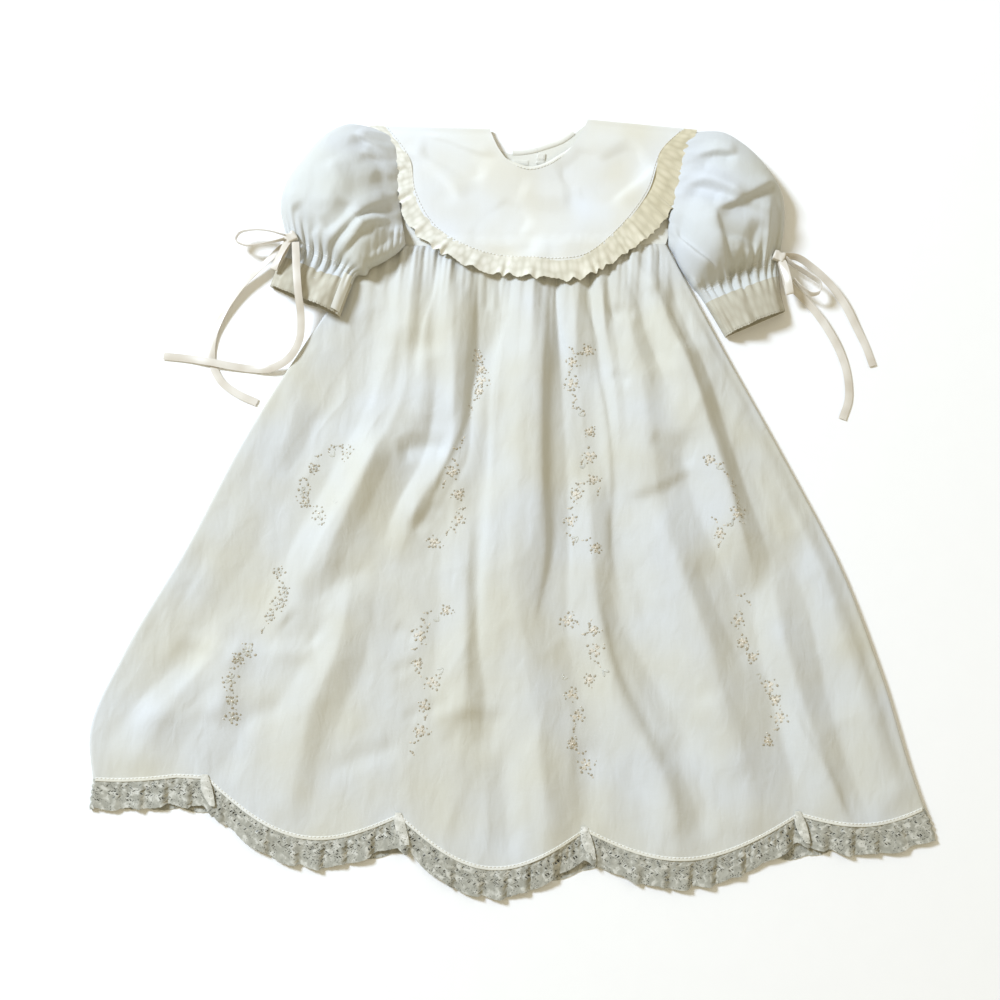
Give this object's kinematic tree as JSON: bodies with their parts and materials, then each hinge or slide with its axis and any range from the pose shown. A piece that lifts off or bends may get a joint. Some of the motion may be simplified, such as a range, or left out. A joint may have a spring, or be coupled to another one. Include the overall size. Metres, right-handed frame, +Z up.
{
  "type": "flower girl dress",
  "caption": "White cotton flower girl dress laid flat: round bib collar, puffed sleeves with ribbon bows, gathered skirt with a scalloped lace hem.",
  "frame": {"origin": "middle of the dress's outline, on the surface that it lies on", "axes": "+Z up from that surface, out of the dress's front; +Y from hem to neck; +X to the right of someone who looks at the front"},
  "size_m": [0.6948, 0.6842, 0.0392],
  "materials": {
    "batiste": "soft matt cotton",
    "yoke_batiste": "soft matt cotton",
    "collar_cotton": "pressed matt cotton",
    "ecru_lace": "matt cotton lace",
    "net_lace": "matt net lace",
    "satin_ribbon": "satin"
  },
  "bodies": {
    "root": {"skirt_front": "batiste", "skirt_back": "batiste", "sleeve_left": "batiste", "sleeve_left_under": "batiste", "sleeve_right": "batiste", "sleeve_right_under": "batiste", "yoke_front": "yoke_batiste", "yoke_back_left": "yoke_batiste", "yoke_back_right": "yoke_batiste", "neck_band_front": "yoke_batiste", "neck_band_back_left": "yoke_batiste", "neck_band_back_right": "yoke_batiste", "back_placket": "yoke_batiste", "back_tab": "yoke_batiste", "collar_front": "collar_cotton", "collar_back_left": "collar_cotton", "collar_back_right": "collar_cotton", "collar_lace_front": "ecru_lace", "collar_lace_back_left": "ecru_lace", "collar_lace_back_right": "ecru_lace", "cuff_lace_left": "ecru_lace", "cuff_lace_left_under": "ecru_lace", "cuff_lace_right": "ecru_lace", "cuff_lace_right_under": "ecru_lace", "hem_lace_front": "net_lace", "hem_lace_back": "net_lace", "bow_left_knot": "satin_ribbon", "bow_left_loop": "satin_ribbon", "bow_left_short": "satin_ribbon", "bow_right_knot": "satin_ribbon", "bow_right_loop": "satin_ribbon", "bow_right_short": "satin_ribbon", "ribbon_left_a": "satin_ribbon", "ribbon_left_b": "satin_ribbon", "ribbon_right_a": "satin_ribbon", "ribbon_right_b": "satin_ribbon"}
  },
  "joints": []
}
